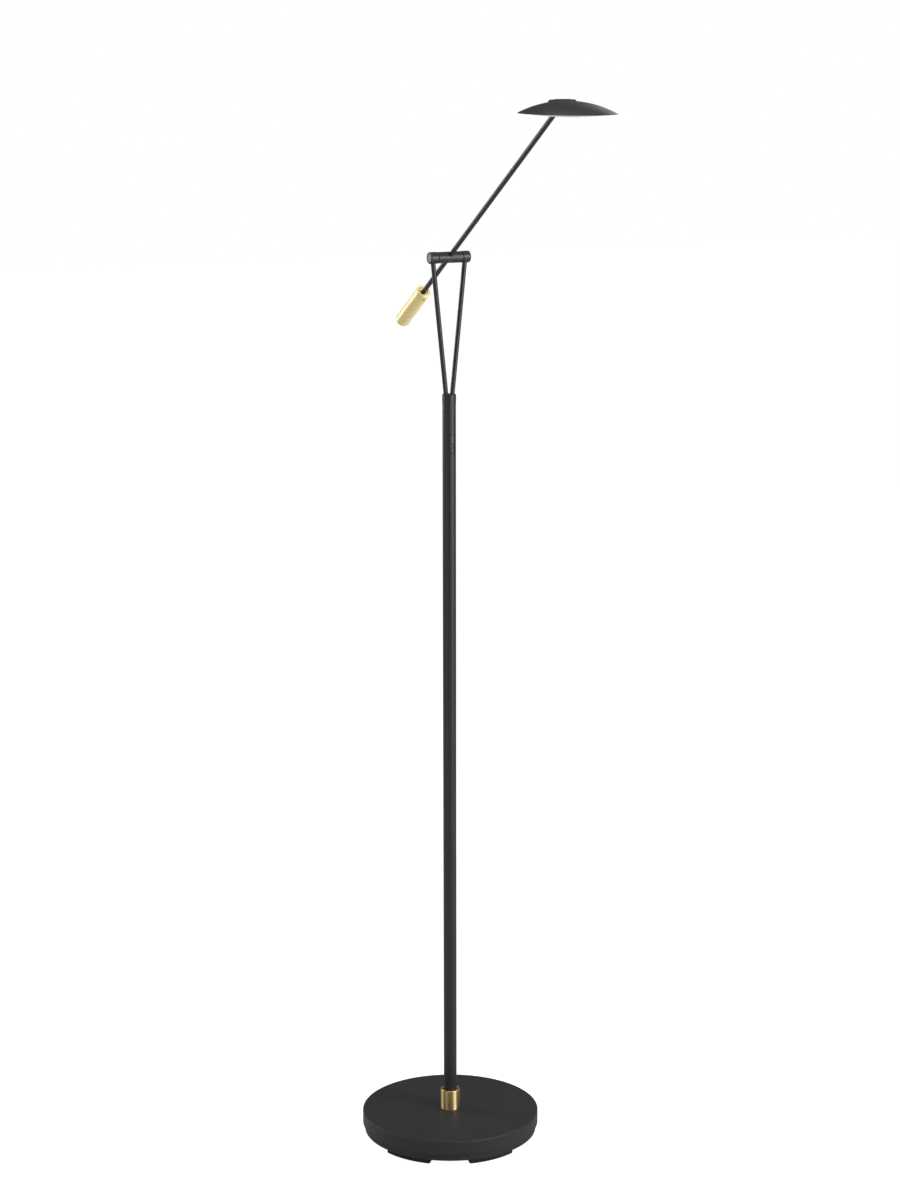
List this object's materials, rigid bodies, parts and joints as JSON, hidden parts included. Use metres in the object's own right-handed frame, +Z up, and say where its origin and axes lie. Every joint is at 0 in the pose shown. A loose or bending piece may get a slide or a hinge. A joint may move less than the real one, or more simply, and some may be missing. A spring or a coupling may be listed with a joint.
{
  "type": "floor lamp",
  "caption": "Counterbalanced reading floor lamp: weighted disc base, slim pole, swivelling two-rod fork, tilting arm and a flat dome LED head.",
  "frame": {"origin": "on the floor, on the pole's axis at the centre of the round base", "axes": "+Z up along the pole; the hub's axis lies along X; the arm and the head point towards -Y at rest and the counterweight towards +Y"},
  "size_m": [0.23, 0.4646, 1.3444],
  "materials": {
    "black_coat": "matt black fine-textured powder coat on steel",
    "shade_coat": "matt black fine-textured powder coat on spun aluminium",
    "iron_black": "black painted casting",
    "rubber": "matt moulded rubber",
    "brass_satin": "satin brushed brass",
    "brass_bright": "polished turned brass",
    "zinc": "zinc-plated steel",
    "steel": "plain turned steel",
    "black_plastic": "fine-grained moulded plastic",
    "lead_sheath": "sheathed two-core inner lead",
    "aluminium": "rolled sheet",
    "board_white": "white solder mask",
    "led_yellow": "phosphor-filled LED packages",
    "opal": "opal white light diffuser, unlit"
  },
  "bodies": {
    "stand": {"base_feet": "rubber", "base_weight": "iron_black", "base_shell": "black_coat", "bottom_cover": "zinc", "bottom_screws": "zinc", "cable_grommet": "rubber", "led_driver": "black_plastic", "base_washer": "zinc", "base_nut": "zinc", "pole_insert": "steel", "pole_tube": "black_coat", "pole_collar": "brass_bright", "collar_screw": "steel", "pole_bush": "black_plastic", "stop_screw": "steel", "switch_bezel": "black_plastic", "switch_body": "black_plastic", "rocker_pin": "steel", "pole_lead": "lead_sheath"},
    "rocker": {"rocker_button": "black_plastic"},
    "fork": {"fork_cap": "black_coat", "spigot_clip": "steel", "fork_rod_left": "black_coat", "fork_rod_right": "black_coat", "hub_collar_left": "black_coat", "hub_collar_right": "black_coat", "hub_bush_left": "black_plastic", "hub_bush_right": "black_plastic", "hub_cap_left": "black_coat", "hub_cap_right": "black_coat", "fork_lead": "lead_sheath"},
    "arm": {"hub_barrel": "black_coat", "hub_springs": "steel", "hub_clips": "steel", "hub_screw": "steel", "arm_tube": "black_coat", "arm_lead": "lead_sheath", "counterweight": "brass_satin", "counterweight_screw": "steel", "head_knuckle": "black_coat"},
    "head": {"shade": "shade_coat", "shade_screws": "zinc", "led_carrier": "aluminium", "led_board": "board_white", "led_chips": "led_yellow", "diffuser": "opal", "pivot_block_left": "black_coat", "pivot_block_right": "black_coat", "block_screws": "zinc", "pivot_pins": "steel", "pivot_washers": "zinc"}
  },
  "joints": [
    {"name": "dimmer_rocker", "type": "hinge", "parent": "stand", "child": "rocker", "pos_m": [0, -0.006, 0.918], "axis": [1, 0, 0], "range_deg": [-5, 5], "stiffness_Nm_per_rad": 0.02},
    {"name": "fork_swivel", "type": "hinge", "parent": "stand", "child": "fork", "pos_m": [0, 0, 0.957], "axis": [0, 0, 1], "range_deg": [-155, 155]},
    {"name": "arm_tilt", "type": "hinge", "parent": "fork", "child": "arm", "pos_m": [0, 0, 1.14895], "axis": [-1, 0, 0], "range_deg": [-80, 44]},
    {"name": "head_tilt", "type": "hinge", "parent": "arm", "child": "head", "pos_m": [0, -0.26703, 1.33942], "axis": [-1, 0, 0], "range_deg": [-68, 9]}
  ]
}
